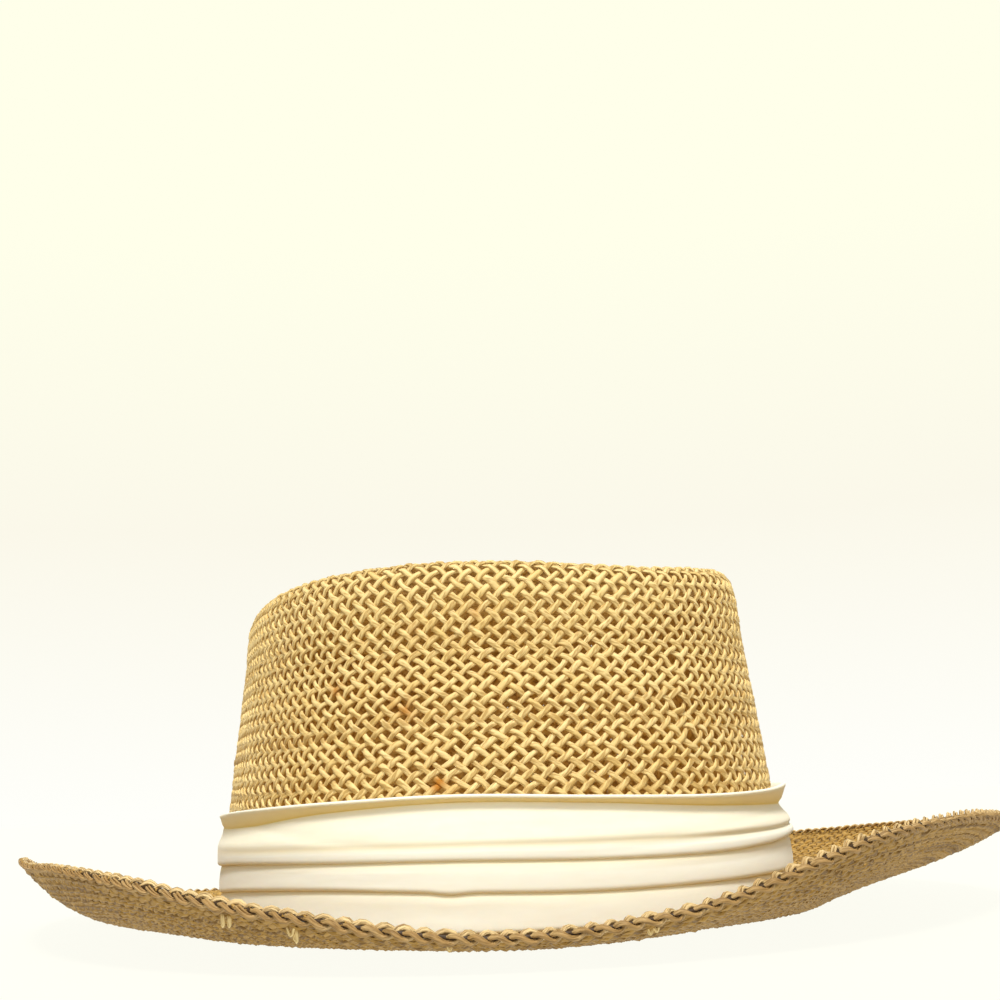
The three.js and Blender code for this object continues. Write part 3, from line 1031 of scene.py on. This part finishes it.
solidify = band.modifiers.new("thickness of the cotton", "SOLIDIFY")
solidify.thickness = cloth_thickness
solidify.offset = 0.0
strip_width = mean_length(band_points)
strip_girth = np.linalg.norm(band_points - np.roll(band_points, 1, axis=0), axis=-1).sum(axis=0).mean()
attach(band, "root")
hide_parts("pleated_band")
print("cut strip, mm:", round(strip_girth / mm), "by", round(strip_width / mm, 1), "rows:", band_rows)

# %% [markdown]
# Colours are picked as sRGB hex values, as on a colour chart, and Blender's shaders want linear light. One
# function turns the one into the other. A second one adds a shader node, sets it and links it.

# %% Helpers for materials


def linear(hex_colour):
    channels = [int(hex_colour[start : start + 2], 16) / 255 for start in (1, 3, 5)]
    return [c / 12.92 if c <= 0.04045 else ((c + 0.055) / 1.055) ** 2.4 for c in channels] + [1.0]


def add_node(tree, kind, inputs=None, **settings):
    """Adds a node. inputs gives values or other nodes' outputs for its sockets, settings its properties."""
    node = tree.nodes.new(kind)
    for name, value in settings.items():
        setattr(node, name, value)
    for socket, value in (inputs or {}).items():
        if isinstance(value, bpy.types.NodeSocket):
            tree.links.new(value, node.inputs[socket])
        else:
            node.inputs[socket].default_value = value
    return node


def end_with_shader(tree, inputs):
    """Ends a material's tree with its shader and output."""
    shader = add_node(tree, "ShaderNodeBsdfPrincipled", inputs)
    add_node(tree, "ShaderNodeOutputMaterial", {"Surface": shader.outputs[0]})


def new_material(name):
    material = bpy.data.materials.new(name)
    material.use_nodes = True
    material.node_tree.nodes.clear()
    return material


def mix_colours(tree, share, first_colour, second_colour):
    inputs = {0: share, 6: first_colour, 7: second_colour}
    return add_node(tree, "ShaderNodeMix", inputs, data_type="RGBA").outputs[2]


def share_between(tree, value, low, high, at_low=0.0, at_high=1.0, **settings):
    """How far a value lies between low and high, cut off at both ends."""
    inputs = {"Value": value, "From Min": low, "From Max": high, "To Min": at_low, "To Max": at_high}
    return add_node(tree, "ShaderNodeMapRange", inputs, **settings).outputs[0]


# %% [markdown]
# Straw is dry and matt with a faint shine along the fibre. Each strand is a twist of split straw, so fine
# streaks run along it and turn slowly round it. The streaks come from a noise stretched along the strand's
# UV map, where one unit is 10 mm of strand. Every strand has a tone of its own between a pale and a
# deeper straw colour, and stains are a burnt orange brown. The brim's straw is darker than the crown's,
# partly as a darker lot and partly as painted shade, which keeps the brim's underside dark against the
# floor's light. The straw ends inside the plait are coloured dark brown, which is painted shade.

# %% Straw
streaks_round_strand = 6.0
streaks_per_unit = 2.6
twist_per_unit = 0.6
stain_colour = "#B9781C"


def straw_material(name, pale, deep, streak):
    material = new_material(name)
    tree = material.node_tree
    uv = add_node(tree, "ShaderNodeUVMap", uv_map="strand")
    parts = add_node(tree, "ShaderNodeSeparateXYZ", {"Vector": uv.outputs["UV"]})
    twisted = {0: parts.outputs["Y"], 1: twist_per_unit, 2: parts.outputs["X"]}
    twist = add_node(tree, "ShaderNodeMath", twisted, operation="MULTIPLY_ADD")
    turned = add_node(tree, "ShaderNodeCombineXYZ", {"X": twist.outputs[0], "Y": parts.outputs["Y"]})
    stretch = {"Vector": turned.outputs[0], "Scale": (streaks_round_strand, streaks_per_unit, 1)}
    stretched = add_node(tree, "ShaderNodeMapping", stretch)
    noise = {"Vector": stretched.outputs[0], "Scale": 1.0, "Detail": 2.0}
    streaks = add_node(tree, "ShaderNodeTexNoise", noise).outputs["Fac"]
    tone = add_node(tree, "ShaderNodeAttribute", attribute_name="tone")
    stain = add_node(tree, "ShaderNodeAttribute", attribute_name="stain")
    dark_streaks = share_between(tree, streaks, low=0.38, high=0.54, at_low=0.8, at_high=0.0)
    colour = mix_colours(tree, tone.outputs["Fac"], linear(deep), linear(pale))
    colour = mix_colours(tree, dark_streaks, colour, linear(streak))
    colour = mix_colours(tree, stain.outputs["Fac"], colour, linear(stain_colour))
    bump = add_node(tree, "ShaderNodeBump", {"Height": streaks, "Strength": 0.7, "Distance": 0.3 * mm})
    surface = {"Base Color": colour, "Normal": bump.outputs[0]}
    end_with_shader(tree, surface | {"Roughness": 0.55, "IOR": 1.5, "Specular IOR Level": 0.35})
    return material


woven_straw = straw_material("twisted natural straw", "#F6DC9E", "#E4C37C", "#AE8845")
# partly painted shade: the brim's straw colours are darkened so that its underside stays as dark as shade
brim_straw = straw_material("twisted natural straw, darker on the brim", "#C59C50", "#9E7833", "#664717")
# painted light and shade: the pale colour goes on the plait's upper loops, the deep colour on its lower loops
plaited_straw = straw_material("plaited natural straw", "#EDD098", "#A98550", "#7A5A2C")
# painted shade: a dark brown straw colour for the core inside the plait
shaded_straw = straw_material("straw ends inside the plait, painted dark as shade", "#4E3414", "#402A0F", "#33210B")
for piece in weave_pieces:
    piece.data.materials.append(woven_straw)
for piece in brim_pieces:
    piece.data.materials.append(brim_straw)
edge_plait.data.materials.append(plaited_straw)
edge_core.data.materials.append(shaded_straw)

# %% [markdown]
# The band is smooth cream cotton poplin. It is matt, with the soft lift at grazing angles that the nap
# of cotton gives, and light goes a little way into it, which keeps its shadows warm. Its threads are about
# 0.2 mm apart, too fine to show here. What shows is a faint unevenness along the thicker threads, and a
# tan tint of painted shade under the lip and in the tucks.

# %% Cotton
cotton = new_material("cream cotton poplin")
cotton_tree = cotton.node_tree
thread_length = 8.0
thread_height = 0.7
cloth_map = add_node(cotton_tree, "ShaderNodeUVMap", uv_map="cloth")
thread_scale = (strip_girth / mm / thread_length, strip_width / mm / thread_height, 1)
thread_mapping = {"Vector": cloth_map.outputs["UV"], "Scale": thread_scale}
along_threads = add_node(cotton_tree, "ShaderNodeMapping", thread_mapping)
slubs = add_node(cotton_tree, "ShaderNodeTexNoise", {"Vector": along_threads.outputs[0], "Scale": 1.0})
slub_bump = {"Height": slubs.outputs["Fac"], "Strength": 0.12, "Distance": 0.1 * mm}
thread_bump = add_node(cotton_tree, "ShaderNodeBump", slub_bump)
cotton_colour = mix_colours(cotton_tree, slubs.outputs["Fac"], linear("#F5F2E4"), linear("#FBFAEF"))
# painted shade: a tan tint mixed into the cotton under the lip, towards the hollow and in the tucks
painted_shade = add_node(cotton_tree, "ShaderNodeAttribute", attribute_name="painted_shade")
cotton_colour = mix_colours(cotton_tree, painted_shade.outputs["Fac"], cotton_colour, linear("#F5DA80"))
end_with_shader(
    cotton_tree,
    {
        "Base Color": cotton_colour,
        "Normal": thread_bump.outputs[0],
        "Roughness": 0.85,
        "IOR": 1.47,
        "Specular IOR Level": 0.25,
        "Sheen Weight": 0.15,
        "Sheen Roughness": 0.5,
        "Subsurface Weight": 0.1,
        "Subsurface Radius": (1.0, 0.7, 0.35),
        "Subsurface Scale": 0.6 * mm,
    },
)
band.data.materials.append(cotton)

# %% [markdown]
# The hat stands on a pale floor in a room with one bright side. Behind the hat the room is as pale as the
# photograph's background, creamier above and whiter towards the floor. On the camera's side it is dimmer,
# so the soft sun from above and in front can draw shadows under the folds and between the strands. The
# photograph has almost no shadow on the floor, so the floor is white paper that is lit from below, as on a
# light table. Under the crown its light is dim and as brown as the straw round it, so that the hat's
# inside stays dark. A wide window behind the camera fills the shadows in front.

# %% Floor and light
floor_mesh = bpy.data.meshes.new("studio_floor")
floor_form = bmesh.new()
bmesh.ops.create_circle(floor_form, cap_ends=True, segments=96, radius=6.0)
floor_form.to_mesh(floor_mesh)
floor_form.free()
floor = add_object("studio_floor", floor_mesh)
floor_material = new_material("matt white paper on a light table")
floor_tree = floor_material.node_tree
floor_place = add_node(floor_tree, "ShaderNodeTexCoord")
dim_radius = 80 * mm
lit_radius = 100 * mm
from_axis_to = {0: floor_place.outputs["Object"], 1: crown_axis}
from_axis = add_node(floor_tree, "ShaderNodeVectorMath", from_axis_to, operation="DISTANCE")
table_share = share_between(floor_tree, from_axis.outputs["Value"], low=dim_radius, high=lit_radius)
table_colour = mix_colours(floor_tree, table_share, linear("#A9801F"), linear("#F9F9F0"))
end_with_shader(
    floor_tree,
    {
        "Base Color": linear("#383731"),
        "Roughness": 0.9,
        "Specular IOR Level": 0.1,
        "Emission Color": table_colour,
        "Emission Strength": 1.0,
    },
)
floor_mesh.materials.append(floor_material)

hat_turn = math.radians(-15)
aim_turn = math.radians(-1.0)
heading = Matrix.Rotation(hat_turn + aim_turn, 3, "Z") @ Vector((0, 1, 0))
sky = bpy.data.worlds.new("studio room")
sky.use_nodes = True
sky_tree = sky.node_tree
sky_tree.nodes.clear()
direction = add_node(sky_tree, "ShaderNodeTexCoord")
towards_heading = {0: direction.outputs["Generated"], 1: heading}
facing = add_node(sky_tree, "ShaderNodeVectorMath", towards_heading, operation="DOT_PRODUCT").outputs["Value"]
soft = {"interpolation_type": "SMOOTHSTEP"}
bright_side = share_between(sky_tree, facing, low=0.25, high=0.7, **soft)
parts = add_node(sky_tree, "ShaderNodeSeparateXYZ", {"Vector": direction.outputs["Generated"]})
height = parts.outputs["Z"]
low_share = share_between(sky_tree, height, low=0.0, high=0.2)
high_share = share_between(sky_tree, height, low=0.2, high=0.4)
backdrop = mix_colours(sky_tree, low_share, linear("#FFFFFA"), linear("#FBF8EA"))
backdrop = mix_colours(sky_tree, high_share, backdrop, linear("#FFFFEA"))
window_side = share_between(sky_tree, facing, low=-0.3, high=-0.8, **soft)
room_colour = mix_colours(sky_tree, window_side, linear("#92928A"), linear("#FCFCF4"))
room_colour = mix_colours(sky_tree, bright_side, room_colour, backdrop)
sky_light = add_node(sky_tree, "ShaderNodeBackground", {"Color": room_colour, "Strength": 1.0})
add_node(sky_tree, "ShaderNodeOutputWorld", {"Surface": sky_light.outputs[0]})
bpy.context.scene.world = sky
bpy.context.scene.view_settings.view_transform = "Standard"

sun_azimuth = math.radians(-17)
sun_height = math.radians(64)
sun_data = bpy.data.lights.new("soft sun", "SUN")
sun_data.energy = 3.1
sun_data.angle = math.radians(14)
sun_data.color = (1.0, 0.995, 0.955)
sun = add_object("soft sun", sun_data)
sun.matrix_world = Matrix.Rotation(sun_azimuth, 4, "Z") @ Matrix.Rotation(math.pi / 2 - sun_height, 4, "X")

# %% [markdown]
# The camera stands where the photograph was taken from: close to the hat, 35 mm above the floor, looking
# up a little, with the hat turned 15 degrees and the picture rolled by 2.4 degrees.

# %% Camera
camera_distance = 446.2 * mm
camera_height = 34.9 * mm
pitch_up = math.radians(12.77)
roll = math.radians(-2.4)
photo_side = 1000
focal_length_in_pixels = 1316.6

camera_data = bpy.data.cameras.new("camera")
camera_data.sensor_width = 36
camera_data.lens = focal_length_in_pixels / photo_side * camera_data.sensor_width
camera_data.clip_start = 0.01
camera = add_object("camera", camera_data)
camera_place = crown_axis + Vector((math.sin(hat_turn), -math.cos(hat_turn), 0)) * camera_distance
camera_place.z = camera_height
aim = Matrix.Rotation(hat_turn + aim_turn, 4, "Z") @ Matrix.Rotation(math.pi / 2 + pitch_up, 4, "X")
camera.matrix_world = Matrix.Translation(camera_place) @ aim @ Matrix.Rotation(roll, 4, "Z")
bpy.context.scene.camera = camera
